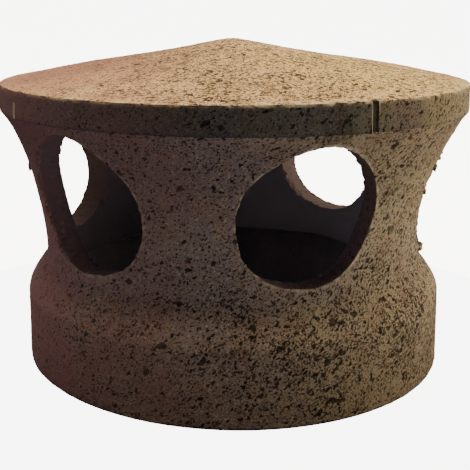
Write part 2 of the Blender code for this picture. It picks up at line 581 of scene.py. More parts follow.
@dataclass
class HandCutWindows:
    """Six windows cut through the flared wall, with scored faces, raised lips and torn edges."""

    wall: TurnedBody
    windows: tuple[Window, ...]
    sides: int = 360
    cut_from: float = 58.0 * MM
    cut_to: float = 104.0 * MM
    score_step: float = 1.0 * MM
    score_width: float = 1.5 * MM
    score_depth: float = 0.42 * MM
    lip: float = 0.42 * MM
    crumb: Lump = Lump(1.5, 0.9, 0.75, 0.1, -0.1, 0.5, 18, 0.75 * MM)
    tear: Lump = Lump(1.2, 0.7, 1.5, -0.2, 0.0, 0.9, 24, 1.5 * MM)
    edge_reach: float = 2.0 * MM
    skin: float = 0.35 * MM
    torn_from: float = 0.5
    torn_to: float = 0.93
    worn_width: float = 0.6 * MM
    seed: int = 5

    def cutter(self, window: Window) -> bpy.types.Object:
        """Model the tool's path through the wall: a round bar, out of round and scored along its way.

        Args:
            window: the window to cut.

        Returns:
            A closed cutter.
        """
        length = self.cut_to - self.cut_from
        bpy.ops.mesh.primitive_cylinder_add(vertices=self.sides, radius=window.radius, depth=length)
        cutter = bpy.context.object
        with editing(cutter) as shape:
            bpy.ops.mesh.select_all(action="DESELECT")
            for edge in shape.edges:
                edge.select_set(abs(edge.verts[0].co.z - edge.verts[1].co.z) > length / 2)
            bmesh.update_edit_mesh(cutter.data)
            bpy.ops.mesh.subdivide(number_cuts=int(length / self.score_step))
        about = window.radius / self.score_width
        for vertex in cutter.data.vertices:
            angle = math.atan2(vertex.co.y, vertex.co.x)
            along = vertex.co.z / (3 * self.score_width) + window.azimuth
            score = noise.noise(Vector((about * math.cos(angle), about * math.sin(angle), along)))
            radius = window.edge(angle) + self.score_depth * score
            vertex.co = (radius * math.cos(angle), radius * math.sin(angle), vertex.co.z)
        cutter.data.transform(window.frame() @ Matrix.Translation((0, 0, self.cut_from + length / 2)))
        return cutter

    def on_edge(self, window: Window, angle: float, outset: float, depth: float) -> Vector:
        """Find a place on a window's edge, in the window's own axes.

        Args:
            window: the window.
            angle: the place's angle in radians.
            outset: how far it lies outside the outline.
            depth: how deep it lies behind the wall's outer face.

        Returns:
            The place.
        """
        radius = window.edge(angle) + outset
        across, up = radius * math.cos(angle), radius * math.sin(angle)
        face = float(self.wall.outer_radius(window.height + up)) - depth
        return Vector((across, up, math.sqrt(face * face - across * across)))

    def rim_lip(self, window: Window) -> bpy.types.Object:
        """Model the lip of clay that the tool raised round a window, thicker here and thinner there.

        Args:
            window: the window it goes round.

        Returns:
            A closed ring that lies half sunk in the wall's outer face.
        """
        bpy.ops.mesh.primitive_torus_add(
            major_segments=self.sides, minor_segments=8, major_radius=window.radius, minor_radius=self.lip
        )
        ring = bpy.context.object
        for vertex in ring.data.vertices:
            angle = math.atan2(vertex.co.y, vertex.co.x)
            round_about = Vector((math.cos(angle), math.sin(angle), window.azimuth))
            swell = noise.noise(4 * round_about) + 0.5 * noise.noise(18 * round_about)
            thickness = max(0.25, 0.7 + 0.9 * swell)
            outset = (math.hypot(vertex.co.x, vertex.co.y) - window.radius) * thickness
            sunk = self.lip / 4 - vertex.co.z * thickness
            vertex.co = self.on_edge(window, angle, outset, sunk)
        ring.data.transform(window.frame())
        return ring

    def lump(self, window: Window, burr: Burr, form: Lump, depth: float) -> bpy.types.Object:
        """Model a lump of torn clay that lies along a window's edge.

        Args:
            window: the window it is on.
            burr: its place round the window, and its size.
            form: its form.
            depth: how deep the edge lies behind the wall's outer face.

        Returns:
            A small closed lump.
        """
        bpy.ops.mesh.primitive_ico_sphere_add(subdivisions=2, radius=1.0)
        lump = bpy.context.object
        angle = math.radians(burr.clock)
        outset = burr.outset + form.outset * burr.size
        middle = self.on_edge(window, angle, outset, depth + form.sunk * burr.size)
        across = Vector((math.cos(angle), math.sin(angle), 0))
        along = Vector((-math.sin(angle), math.cos(angle), 0))
        for vertex in lump.data.vertices:
            uneven = 1 + form.lumpy * noise.noise(1.7 * vertex.co + Vector((burr.clock, window.azimuth, 0)))
            reach = burr.size * uneven * vertex.co
            sideways = across * reach.x * form.across + along * reach.y * form.along
            vertex.co = middle + sideways + Vector((0, 0, reach.z * form.proud))
        lump.data.transform(window.frame())
        return lump

    def torn_clay(self, bite: Bite, dice: random.Random) -> bpy.types.Object:
        """Model the crumbs on the outer edges, or what the tool tore out of the inner ones.

        Args:
            bite: whether the lumps are joined on as crumbs or cut out as tears.
            dice: the source of chance.

        Returns:
            All the lumps as one object, most of them small, with the larger ones that a window lists.
        """
        torn = bite is Bite.CUT
        form, depth = (self.tear, self.wall.wall) if torn else (self.crumb, 0.0)
        places = []
        for window in self.windows:
            for number in range(form.each):
                clock = 360 * (number + 0.7 * dice.random()) / form.each
                places.append((window, Burr(clock, (0.3 + 0.7 * dice.random() ** 3) * form.biggest)))
        for window in self.windows:
            places += [(window, burr) for burr in (window.tears if torn else window.burrs)]
        return joined([self.lump(window, burr, form, depth) for window, burr in places])

    def cut(self, body: bpy.types.Object) -> None:
        """Cut every window out of the body, tear its inner edge, and raise its lip and crumbs.

        Args:
            body: the turned body.
        """
        dice = random.Random(self.seed)
        for window in self.windows:
            work(body, self.cutter(window), Bite.CUT)
        work(body, self.torn_clay(Bite.CUT, dice), Bite.CUT)
        work(body, joined([self.rim_lip(window) for window in self.windows]), Bite.JOIN)
        work(body, self.torn_clay(Bite.JOIN, dice), Bite.JOIN)

    def zones(self, points: np.ndarray, depth: np.ndarray) -> tuple[np.ndarray, np.ndarray]:
        """Find the windows' cut faces and their outer edges.

        Args:
            points: rows of x, y and z.
            depth: how deep each lies under the outer skin.

        Returns:
            Weights from 0 to 1 for the cut faces and for the outer edges.
        """
        cut = np.zeros(len(points))
        edge = np.zeros(len(points))
        through = depth / self.wall.wall
        torn = (through > self.torn_from) & (through < self.torn_to)
        for window in self.windows:
            own = window.local(points)
            off = np.hypot(own[:, 0], own[:, 1]) - window.edge(np.arctan2(own[:, 1], own[:, 0]))
            near = (own[:, 2] > 0) & (np.abs(off) < self.edge_reach)
            own_face = (depth > self.skin) & (through < 1) & (off < self.skin)
            cut[near & (own_face | torn)] = 1.0
            reach = np.hypot(np.maximum(off, 0), np.maximum(depth, 0))
            edge = np.maximum(edge, np.where(near, np.clip(1.4 - reach / self.worn_width, 0, 1), 0))
        return cut, edge


@dataclass(frozen=True)
class SeamMark:
    """An upright mark that a mould's joint left on the rim's band.

    Attributes:
        azimuth: where it is.
        width: its width along the band.
        inner: how far its inner side stands out from the band's face.
        outer: how far its outer side does, which is nought or less where it is cut.
        rise: the share of the band's height that it takes up, from the foot.
    """

    azimuth: float
    width: float
    inner: float
    outer: float
    rise: float = 1.0


@dataclass
class MouldSeams:
    """The fins and grooves on the band where the halves of the mould met."""

    wall: TurnedBody
    grooves: tuple[SeamMark, ...] = (
        SeamMark(29.25, 2.3 * MM, -0.75 * MM, 1.5 * MM),
        SeamMark(209.4, 1.2 * MM, -0.40 * MM, 1.5 * MM),
    )
    fins: tuple[SeamMark, ...] = (
        SeamMark(28.38, 0.42 * MM, -1.5 * MM, 0.38 * MM),
        SeamMark(29.40, 0.30 * MM, -1.5 * MM, -0.25 * MM),
        SeamMark(30.15, 0.30 * MM, -1.5 * MM, 0.10 * MM),
        SeamMark(208.6, 0.45 * MM, -1.5 * MM, 0.25 * MM),
        SeamMark(303.9, 1.9 * MM, -1.5 * MM, 0.14 * MM, 0.6),
    )
    above_foot: float = 0.3 * MM
    below_top: float = 0.5 * MM
    proud: float = 0.12 * MM
    skin: float = 0.3 * MM
    deepest: float = 2.0 * MM

    def bar(self, mark: SeamMark, top: float) -> bpy.types.Object:
        """Model the upright bar that makes one mark.

        Args:
            mark: the mark.
            top: the height of its end where it takes up the whole band.

        Returns:
            A closed bar.
        """
        foot = self.wall.rim_foot_z + self.above_foot
        top = foot + mark.rise * (top - foot)
        bpy.ops.mesh.primitive_cube_add(size=1.0)
        bar = bpy.context.object
        turn = Matrix.Rotation(math.radians(mark.azimuth), 4, "Z")
        middle = -self.wall.rim_radius - (mark.inner + mark.outer) / 2
        place = Matrix.Translation((0.0, middle, (foot + top) / 2))
        size = Matrix.Diagonal((mark.width, mark.outer - mark.inner, top - foot, 1.0))
        bar.data.transform(turn @ place @ size)
        return bar

    def press(self, body: bpy.types.Object) -> None:
        """Press the grooves into the band, then raise the fins in and beside them.

        Args:
            body: the body with its windows cut.
        """
        for groove in self.grooves:
            work(body, self.bar(groove, self.wall.peak_z), Bite.CUT)
        for fin in self.fins:
            work(body, self.bar(fin, self.wall.rim_top_z - self.below_top), Bite.JOIN)

    def zones(self, points: np.ndarray) -> tuple[np.ndarray, np.ndarray]:
        """Find the fins that stand proud, and the faces sunk in the grooves.

        Args:
            points: rows of x, y and z.

        Returns:
            Which rows lie on a fin, and which in a groove.
        """
        azimuths = np.degrees(np.arctan2(points[:, 0], -points[:, 1])) % 360
        outset = np.hypot(points[:, 0], points[:, 1]) - self.wall.rim_radius
        fin = np.zeros(len(points), dtype=bool)
        groove = np.zeros(len(points), dtype=bool)
        up_band = (points[:, 2] - self.wall.rim_foot_z) / (self.wall.rim_top_z - self.wall.rim_foot_z)
        for mark in self.fins + self.grooves:
            off = np.radians(np.abs(azimuths - mark.azimuth)) * self.wall.rim_radius
            on_band = (off < 0.6 * mark.width) & (up_band > 0) & ((up_band < mark.rise) | (mark.rise == 1))
            if mark in self.grooves:
                groove |= on_band & (off < 0.53 * mark.width) & (outset < -self.skin / 2)
            elif mark.outer > self.proud:
                fin |= on_band & (outset > mark.outer - self.skin)
        return fin, groove & ~fin & (outset > -self.deepest)


@dataclass(frozen=True)
class Relief:
    """One scale of unevenness in the clay's surface: its grain, its width and its full height."""

    grain: Grain
    size: float
    height: float


@dataclass
class FiredSurface:
    """The skin of the cap: uneven at several scales, and thinned to a mesh of a fair size."""

    wall: TurnedBody
    windows: HandCutWindows
    seams: MouldSeams
    face_budget: int = 188_000
    mending_rounds: int = 6
    shares: tuple[float, float, float] = (1.0, 0.4, 0.7)
    skin: float = 1.5 * MM
    roof_edge: float = 5.0 * MM
    roof_facing: float = 0.6
    inside_from: float = 7.0 * MM
    reliefs: tuple[Relief, ...] = (
        Relief(Grain.ROLLING, 42.0 * MM, 0.70 * MM),
        Relief(Grain.ROLLING, 13.0 * MM, 0.34 * MM),
        Relief(Grain.ROLLING, 4.2 * MM, 0.20 * MM),
        Relief(Grain.CRUMBLED, 2.2 * MM, 0.16 * MM),
    )

    def roughen(self, body: bpy.types.Object) -> None:
        """Raise each relief on the skin, and keep the foot on the plane it stands on.

        Args:
            body: the cut and pressed body.
        """
        on_foot = rows(body.data.vertices, "co")[:, 2] < 0.01 * MM
        for number, relief in enumerate(self.reliefs):
            pattern = bpy.data.textures.new(f"relief_{number}", relief.grain.value)
            pattern.noise_scale = relief.size
            lift = body.modifiers.new(pattern.name, "DISPLACE")
            lift.texture = pattern
            lift.texture_coords = "LOCAL"
            lift.strength = relief.height
            lift.mid_level = 0.5
            apply_modifier(body, lift)
        points = rows(body.data.vertices, "co")
        points[:, 2] = np.where(on_foot, 0.0, np.maximum(points[:, 2], 0.0))
        body.data.vertices.foreach_set("co", points.ravel())
        body.data.update()

    def thin(self, body: bpy.types.Object) -> None:
        """Collapse faces, most inside and fewest by the windows, until the mesh is within its budget.

        Args:
            body: the roughened body.
        """
        points = rows(body.data.vertices, "co")
        depth = self.wall.depth(points)
        cut, edge = self.windows.zones(points, depth)
        plain = (depth > 0.6 * self.wall.wall) & (cut < 0.5)
        fine = ((cut > 0.5) | (edge > 0)) & ~plain
        share = body.vertex_groups.new(name="collapse_share")
        for chosen, weight in zip((plain, fine, ~fine & ~plain), self.shares):
            share.add(np.flatnonzero(chosen).tolist(), weight, "REPLACE")
        thin = body.modifiers.new("thin", "DECIMATE")
        thin.ratio = self.face_budget / triangles(body)
        thin.vertex_group = share.name
        thin.vertex_group_factor = 1.0
        thin.use_collapse_triangulate = True
        apply_modifier(body, thin)
        body.vertex_groups.clear()

    def mend(self, body: bpy.types.Object) -> None:
        """Merge what the thinning left pinched, drop crumbs that came loose, and close the last gaps.

        Args:
            body: the thinned body.
        """
        with editing(body) as shape:
            bpy.ops.mesh.select_all(action="SELECT")
            bpy.ops.mesh.remove_doubles(threshold=0.01 * MM)
            bpy.ops.mesh.dissolve_degenerate(threshold=0.005 * MM)
            bpy.ops.mesh.delete_loose()
            bpy.ops.mesh.select_all(action="DESELECT")
            top = max(shape.verts, key=lambda vertex: vertex.co.z)
            top.select_set(True)
            shape.select_flush_mode()
            bmesh.update_edit_mesh(body.data)
            bpy.ops.mesh.select_linked()
            bpy.ops.mesh.select_all(action="INVERT")
            bpy.ops.mesh.delete(type="VERT")
            bpy.ops.mesh.select_mode(type="EDGE")
            for _ in range(self.mending_rounds):
                bpy.ops.mesh.select_all(action="DESELECT")
                bpy.ops.mesh.select_non_manifold(use_verts=False)
                if not any(edge.select for edge in shape.edges):
                    break
                bpy.ops.mesh.merge(type="COLLAPSE")
                bpy.ops.mesh.select_all(action="SELECT")
                bpy.ops.mesh.dissolve_degenerate(threshold=0.002 * MM)
                bpy.ops.mesh.delete_loose()
            bpy.ops.mesh.select_mode(type="VERT")
            bpy.ops.mesh.select_all(action="SELECT")
            bpy.ops.mesh.normals_make_consistent(inside=False)

    def mark_zones(self, body: bpy.types.Object) -> None:
        """Keep the zones on the mesh, for the clay's finish to read: the crisp ones on its faces.

        Args:
            body: the mended body.
        """
        middles = rows(body.data.polygons, "center")
        depth = self.wall.depth(middles)
        radii = np.hypot(middles[:, 0], middles[:, 1])
        cut, _ = self.windows.zones(middles, depth)
        skin = (depth < self.skin) & (middles[:, 2] > self.wall.rim_foot_z - 0.2 * MM)
        roof = skin & (rows(body.data.polygons, "normal")[:, 2] > self.roof_facing)
        band = skin & ~roof & (radii > self.wall.rim_radius - 2.0 * MM)
        fin, groove = self.seams.zones(middles)
        crisp = {Zone.CUT: cut > 0.5, Zone.ROOF: roof, Zone.BAND: band, Zone.FIN: fin, Zone.GROOVE: groove}
        points = rows(body.data.vertices, "co")
        depth = self.wall.depth(points)
        _, edge = self.windows.zones(points, depth)
        radii = np.hypot(points[:, 0], points[:, 1])
        on_roof = (depth < self.skin) & (points[:, 2] > self.wall.rim_top_z - 0.5 * MM)
        # Painted highlight along the roof's arris, as if it catches the light; the window edges beside it are
        # real wear
        rim_highlight = np.clip((radii - self.wall.rim_radius) / self.roof_edge + 1, 0, 1) * on_roof
        inside = np.clip((depth - self.inside_from) / (self.wall.wall - self.inside_from), 0, 1)
        soft = {Zone.INSIDE: inside, Zone.WORN: np.maximum(edge, rim_highlight)}
        for domain, zones in (("FACE", crisp), ("POINT", soft)):
            for zone, weights in zones.items():
                kept = body.data.attributes.new(zone.value, "FLOAT", domain)
                kept.data.foreach_set("value", weights.astype(np.float32))


def add_node(
    tree: bpy.types.NodeTree,
    kind: str,
    settings: dict[str | int, object] | None = None,
    links: dict[str | int, Feed] | None = None,
) -> bpy.types.Node:
    """Add a node with its settings and links.

    Args:
        tree: the node tree it goes in.
        kind: the node's type, without the word that every shader node's type starts with.
        settings: values of its properties by name, and of its sockets by name or place.
        links: what feeds its sockets, by name or place: a socket, or a node for its first one.

    Returns:
        The node.
    """
    node = tree.nodes.new("ShaderNode" + kind)
    values = dict(settings or {})
    for key in [key for key in values if isinstance(key, str) and hasattr(node, key)]:
        setattr(node, key, values.pop(key))
    for key, value in values.items():
        node.inputs[key].default_value = value
    for key, feed in (links or {}).items():
        source = feed.outputs[0] if isinstance(feed, bpy.types.Node) else feed
        tree.links.new(source, node.inputs[key])
    return node


@dataclass(frozen=True)
class Ramp:
    """How a strength changes along some measure of the cap.

    Attributes:
        start: the measure where the change begins.
        end: the measure where it is whole.
        low: the strength before it.
        high: the strength after it.
        soft: whether it eases in and out.
    """

    start: float = 0.0
    end: float = 1.0
    low: float = 0.0
    high: float = 1.0
    soft: bool = False

    def settings(self) -> dict[str | int, object]:
        """Its values as a map-range node takes them."""
        ease = "SMOOTHSTEP" if self.soft else "LINEAR"
        return {"interpolation_type": ease, 1: self.start, 2: self.end, 3: self.low, 4: self.high}


@dataclass(frozen=True)
class Specks:
    """One size of iron speck that bled through the clay in the kiln.

    Attributes:
        spacing: about how wide one is.
        on_wall: the share of the wall that they cover where they lie thickest.
        on_roof: the share of the roof.
        cover: how strongly they hide the clay.
        tint: their colour.
    """

    spacing: float
    on_wall: float
    on_roof: float
    cover: float
    tint: str


@dataclass(frozen=True)
class Flash:
    """A soft patch that the fire or soot coloured otherwise.

    Attributes:
        azimuth: the side it is on.
        radius: its middle's distance from the axis.
        height: its middle's height.
        reach: how far it fades out.
        share: how strong it is in the middle.
        tint: its colour.
        coat: how it lies on the clay.
    """

    azimuth: float
    radius: float
    height: float
    reach: float
    share: float
    tint: str
    coat: Coat = Coat.COVER


@dataclass
class StonewareClay:
    """Buff stoneware clay with iron in it, pressed, cut and fired unglazed.

    The kiln left it matt and slightly gritty, flushed red on one side and olive buff on the other,
    with dark angular iron specks of every size from dust to a few millimetres. The finest dust and
    grit are too fine to show, so they are drawn as coarse as they need to be to show.
    """

    flush: str = "#b68789"
    ash: str = "#ae9b9a"
    buff: str = "#d2bd9a"
    red_patch: str = "#b08672"
    # The roof's own paler buff, made paler still as painted light from the overhead lamp
    roof_buff_and_top_light: str = "#f6d09e"
    # Pale grains in the clay; the same colour paints a highlight on the proud mould fins
    pale_grain_and_fin_highlight: str = "#e6d3b4"
    # Cream of the windows' worn edges, also the painted highlight on the roof's arris
    wear_and_highlight_cream: str = "#fae9c8"
    # Grey soot on the band, and the painted shade that deepens it at the front
    band_soot_and_shade: str = "#8c939b"
    # Painted shade under the rim, where the rim overhangs the flare
    eaves_shade_tint: str = "#d8d4d8"
    cut_red: str = "#7c6874"
    # Painted light: the cut faces on the far half are paler, as if lit through the windows
    far_cut_light_tan: str = "#a88e86"
    # Painted shade in the mould grooves on the band
    groove_shade: str = "#38322f"
    # Painted shade: the inside of the hollow is a dark blue-grey
    inside_shade_grey: str = "#64606e"
    # Painted light on parts of the inside: towards +X and in the socket
    inside_light_pale: str = "#e2e0ee"
    roughness: float = 0.88
    gloss: float = 0.3
    drift_size: float = 38 * MM
    crowd_size: float = 15 * MM
    patch_size: float = 9 * MM
    scuff_size: float = 4 * MM
    grit_size: float = 0.8 * MM
    relief_depth: float = 0.35 * MM
    relief_strength: float = 0.7
    pit_depth: float = -0.5
    side_stray: float = 0.10
    ash_side: Point = (-0.085, -0.01)
    buff_side: Point = (0.005, 0.06)
    # Where the painted light on the inside begins and is whole, across the cap
    inside_light_side: Point = (-0.04, 0.02)
    red_patches: Ramp = Ramp(0.50, 0.68, 0.0, 0.5, soft=True)
    # The spread of the band's soot and painted shade across the cap
    band_darkening_stray: float = 0.04
    band_darkening_middle: float = 0.03
    band_darkening_share: Ramp = Ramp(0.11, 0.03, 0.25)
    eaves_rise: Ramp = Ramp(0.060, 0.100, soft=True)
    off_band: Ramp = Ramp(0.1085, 0.1075)
    flash_stray: float = 0.8
    flash_core: float = 0.25
    speck_drifts: Ramp = Ramp(0.32, 0.62, 0.55, 1.1)
    across_wall: Ramp = Ramp(-0.085, 0.09, 0.25, 1.5)
    across_roof: Ramp = Ramp(-0.085, -0.02, 0.5, 1.2)
    shoulder_z: float = 31.0 * MM
    shoulder_belt: Ramp = Ramp(0.004, 0.030, 1.2, 0.72)
    fewer_on: tuple[tuple[Zone, float], ...] = ((Zone.BAND, 0.65), (Zone.CUT, 0.45))
    lean: float = 4.0
    fray: float = 0.6
    fray_rate: float = 1.3
    faintest: float = 0.45
    pale_grains: Ramp = Ramp(0.70, 0.95)
    grain_share: Ramp = Ramp(low=0.12, high=0.7)
    haze: Ramp = Ramp(low=0.4, high=0.0)
    scuffed: Ramp = Ramp(0.44, 0.6, 0.0, 0.7)
    back: Ramp = Ramp(-0.01, 0.02)
    # Painted light inside the socket, and how it fades towards the top
    socket: Ramp = Ramp(0.033, 0.030, 0.0, 0.4)
    inside_light_by_height: Ramp = Ramp(0.075, 0.040, 0.3)
    zone_shares: tuple[tuple[Zone, float], ...] = (
        (Zone.ROOF, 0.8), (Zone.FIN, 0.8), (Zone.GROOVE, 0.9), (Zone.CUT, 0.75), (Zone.INSIDE, 0.9)
    )
    specks: tuple[Specks, ...] = (
        Specks(0.42 * MM, 0.16, 0.30, 0.85, "#2a1f19"),
        Specks(0.60 * MM, 0.24, 0.24, 0.92, "#281f19"),
        Specks(1.15 * MM, 0.10, 0.26, 0.92, "#201813"),
        Specks(2.30 * MM, 0.024, 0.010, 0.85, "#26231f"),
    )
    flashes: tuple[Flash, ...] = (
        Flash(62, 66 * MM, 124 * MM, 70 * MM, 0.8, "#ffdf9e"),
        Flash(285, 66 * MM, 124 * MM, 66 * MM, 0.9, "#a97f70"),
        Flash(38, 100 * MM, 112 * MM, 13 * MM, 0.55, "#c79c90"),
        Flash(21, 100 * MM, 108 * MM, 9 * MM, 0.55, "#7d7674", Coat.STAIN),
    )

    def __post_init__(self) -> None:
        """Start the material, and read the position and the zones that all its patterns follow."""
        self.material = bpy.data.materials.new("unglazed_speckled_stoneware")
        self.material.use_nodes = True
        self.tree = self.material.node_tree
        self.add = partial(add_node, self.tree)
        self.place = self.add("TexCoord").outputs["Object"]
        self.x, self.y, self.z = self.add("SeparateXYZ", None, {0: self.place}).outputs
        self.drift = self.add("TexNoise", {"Scale": 1 / self.drift_size, "Detail": 3.0}, {0: self.place})
        self.zones = {z: self.add("Attribute", {"attribute_name": z.value}).outputs["Fac"] for z in Zone}

    def side(self, start: float, end: float) -> bpy.types.Node:
        """How far the kiln's air turned the clay, from none at the start to all at the end.

        Args:
            start: the place across the cap where the change begins.
            end: the place where it is whole.

        Returns:
            The share, its border drawn out by the slow drift.
        """
        stray = {"operation": "MULTIPLY_ADD", 1: self.side_stray}
        strayed = self.add("Math", stray, {0: self.drift, 2: self.x})
        reach = Ramp(start + self.side_stray / 2, end + self.side_stray / 2, soft=True)
        return self.add("MapRange", reach.settings(), {0: strayed})

    def patches(self) -> bpy.types.Node:
        """Soft red patches about a centimetre across."""
        cloud = self.add("TexNoise", {"Scale": 1 / self.patch_size, "Detail": 3.0}, {0: self.place})
        return self.add("MapRange", self.red_patches.settings(), {0: cloud})

    def band_darkening(self) -> bpy.types.Node:
        """The band's grey kiln soot, deepened by painted shade across the middle of the band, thickest at the
        front, where the side lights reach it least.

        Returns:
            How strongly the soot and the painted shade darken the clay.
        """
        stray = {"operation": "MULTIPLY_ADD", 1: self.band_darkening_stray}
        strayed = self.add("Math", stray, {0: self.drift, 2: self.x})
        away = self.add("Math", {"operation": "SUBTRACT", 1: self.band_darkening_middle}, {0: strayed})
        away = self.add("Math", {"operation": "ABSOLUTE"}, {0: away})
        front = self.add("MapRange", self.band_darkening_share.settings(), {0: away})
        return self.add("Math", TIMES, {0: front, 1: self.zones[Zone.BAND]})

    def eaves_shade(self) -> bpy.types.Node:
        """Painted shade under the rim, thickest where the flare turns down.

        Returns:
            How strongly the painted shade darkens the clay.
        """
        high = self.add("MapRange", self.eaves_rise.settings(), {0: self.z})
        off_band = self.add("MapRange", self.off_band.settings(), {0: self.z})
        return self.add("Math", TIMES, {0: high, 1: off_band})

    def flash(self, flash: Flash) -> bpy.types.Node:
        """How strongly one flash colours the clay, its edge drawn out by the slow drift.

        Args:
            flash: the flash.

        Returns:
            Its strength, which fades to none at its reach.
        """
        middle = flash.radius * bearing(flash.azimuth) + Vector((0, 0, flash.height))
        stray = self.flash_stray * flash.reach
        settings = {"operation": "MULTIPLY_ADD", 1: (stray,) * 3}
        strayed = self.add("VectorMath", settings, {0: self.drift.outputs["Color"], 2: self.place})
        aim = {"operation": "DISTANCE", 1: tuple(middle + Vector((stray / 2,) * 3))}
        away = self.add("VectorMath", aim, {0: strayed}).outputs["Value"]
        fade = Ramp(flash.reach, self.flash_core * flash.reach, 0.0, flash.share, soft=True)
        return self.add("MapRange", fade.settings(), {0: away})

    def crowding(self) -> bpy.types.Node:
        """How thickly specks lie: thinner on the flushed side, in soft drifts, and few on cut faces.

        Returns:
            A factor on the share of the clay that each size of speck covers.
        """
        cloud = self.add("TexNoise", {"Scale": 1 / self.crowd_size, "Detail": 2.0}, {0: self.place})
        on_wall = self.add("MapRange", self.across_wall.settings(), {0: self.x})
        on_roof = self.add("MapRange", self.across_roof.settings(), {0: self.x})
        off_shoulder = self.add("Math", {"operation": "SUBTRACT", 1: self.shoulder_z}, {0: self.z})
        off_shoulder = self.add("Math", {"operation": "ABSOLUTE"}, {0: off_shoulder})
        shares = [
            self.add("MapRange", None, {0: self.zones[Zone.ROOF], 3: on_wall, 4: on_roof}),
            self.add("MapRange", self.shoulder_belt.settings(), {0: off_shoulder}),
        ]
        for zone, share in self.fewer_on:
            shares.append(self.add("MapRange", Ramp(low=1.0, high=share).settings(), {0: self.zones[zone]}))
        crowd = self.add("MapRange", self.speck_drifts.settings(), {0: cloud})
        for share in shares:
            crowd = self.add("Math", TIMES, {0: crowd, 1: share})
        return crowd

    def chips(self, spacing: float) -> bpy.types.Node:
        """Break the surface up into ragged chips that lean round the wall, each with its own three chances.

        Args:
            spacing: about how wide a chip is.

        Returns:
            The three chances, from 0 to 1.
        """
        turn = self.add("Math", {"operation": "MULTIPLY", 1: -self.lean}, {0: self.z})
        about = {"rotation_type": "Z_AXIS"}
        leant = self.add("VectorRotate", about, {0: self.place, "Angle": turn})
        fray = self.add("TexNoise", {"Scale": self.fray_rate / spacing, "Detail": 1.0}, {0: leant})
        stray = {"operation": "MULTIPLY_ADD", 1: (self.fray * spacing,) * 3}
        frayed = self.add("VectorMath", stray, {0: fray.outputs["Color"], 2: leant})
        cells = self.add("TexVoronoi", {"Scale": 1 / spacing}, {0: frayed})
        return self.add("SeparateColor", None, {0: cells.outputs["Color"]})

    def speck_mask(self, specks: Specks, chips: bpy.types.Node, crowd: bpy.types.Node) -> bpy.types.Node:
        """Pick the chips that are specks, some faint and some strong.

        Args:
            specks: their size and spread.
            chips: the chances of each chip.
            crowd: how thickly they lie, from 0 to about 1.

        Returns:
            How strongly a speck hides the clay.
        """
        spread = Ramp(low=specks.on_wall, high=specks.on_roof)
        share = self.add("MapRange", spread.settings(), {0: self.zones[Zone.ROOF]})
        limit = self.add("Math", TIMES, {0: share, 1: crowd})
        picked = self.add("Math", {"operation": "LESS_THAN"}, {0: chips, 1: limit})
        depth = Ramp(0.0, 0.5, self.faintest * specks.cover, specks.cover)
        strength = self.add("MapRange", depth.settings(), {0: chips.outputs[1]})
        return self.add("Math", TIMES, {0: picked, 1: strength})

    def inside_light_share(self, inside: bpy.types.Node) -> bpy.types.Node:
        """How much painted light the inside gets: more towards +X and in the socket, less towards the top,
        which keeps its painted shade.

        Args:
            inside: how far a place counts as inside.

        Returns:
            How strongly the pale painted light covers it.
        """
        socket = self.add("MapRange", self.socket.settings(), {0: self.z})
        sides = {0: self.side(*self.inside_light_side), 1: socket}
        paler = self.add("Math", {"operation": "MAXIMUM"}, sides)
        below = self.add("MapRange", self.inside_light_by_height.settings(), {0: self.z})
        paler = self.add("Math", TIMES, {0: paler, 1: below})
        return self.add("Math", TIMES, {0: inside, 1: paler})

    def dress(self) -> bpy.types.Material:
        """Lay the clay's coats of colour in the order that the kiln and the years did, with painted light and
        shade laid in among them.

        Returns:
            The finished material.
        """
        crowd = self.crowding()
        grounds = [self.chips(specks.spacing) for specks in self.specks]
        masks = [self.speck_mask(*layer, crowd) for layer in zip(self.specks, grounds)]
        unflushed = self.side(*self.ash_side)
        grains = self.add("MapRange", self.pale_grains.settings(), {0: grounds[1].outputs[2]})
        shown = self.add("MapRange", self.grain_share.settings(), {0: unflushed})
        pale = self.add("Math", TIMES, {0: grains, 1: shown})
        haze = self.add("MapRange", self.haze.settings(), {0: unflushed})
        scuffs = self.add("TexNoise", {"Scale": 1 / self.scuff_size, "Detail": 2.0}, {0: self.place})
        scuffed = self.add("MapRange", self.scuffed.settings(), {0: scuffs})
        scuffed = self.add("Math", TIMES, {0: scuffed, 1: unflushed})
        # Real wear on the window edges and a painted highlight on the roof's arris, both where scuffed and on
        # the unflushed side
        edge_wear_and_highlight = self.add("Math", TIMES, {0: scuffed, 1: self.zones[Zone.WORN]})
        on = {
            zone: self.add("Math", {"operation": "MULTIPLY", 1: share}, {0: self.zones[zone]})
            for zone, share in self.zone_shares
        }
